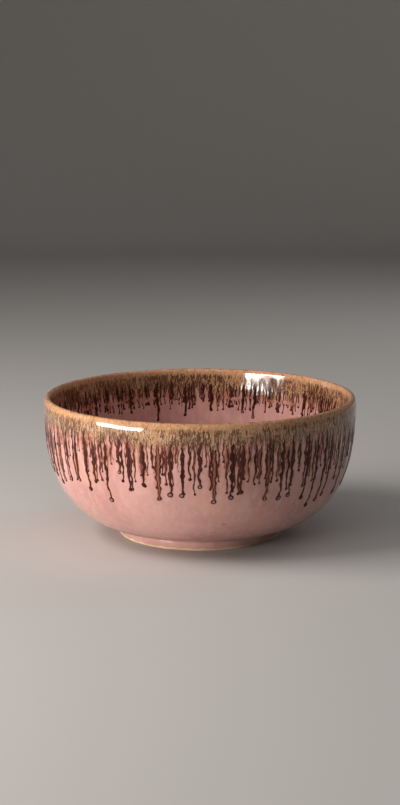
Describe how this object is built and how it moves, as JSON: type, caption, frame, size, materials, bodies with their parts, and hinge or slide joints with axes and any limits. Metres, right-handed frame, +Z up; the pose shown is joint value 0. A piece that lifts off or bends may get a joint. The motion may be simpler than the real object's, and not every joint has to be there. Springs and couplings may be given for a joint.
{
  "type": "punch bowl",
  "caption": "Wide glazed stoneware bowl on a low foot ring, with a tan lip and dark glaze runs, for holding and serving punch or other drinks",
  "frame": {"origin": "centre of the foot ring's underside, on the surface the bowl stands on", "axes": "+Z up, along the bowl's axis of revolution; -Y is the side the picture was taken from; +X is to that viewer's right"},
  "size_m": [0.28, 0.28, 0.1255],
  "materials": {
    "clay": "fired stoneware under the glaze",
    "bare_clay": "bare, smoothed stoneware",
    "pink_glaze": "glossy dusty pink",
    "tan_glaze": "glossy tan, breaking to ochre and olive",
    "dark_glaze": "glossy burgundy brown"
  },
  "bodies": {
    "root": {"stoneware_body": "clay", "foot_ring": "bare_clay", "outside_base_glaze": "pink_glaze", "inside_base_glaze": "pink_glaze", "underside_base_glaze": "pink_glaze", "rim_glaze": "tan_glaze", "outside_glaze_runs": "dark_glaze", "inside_glaze_runs": "dark_glaze"}
  },
  "joints": []
}
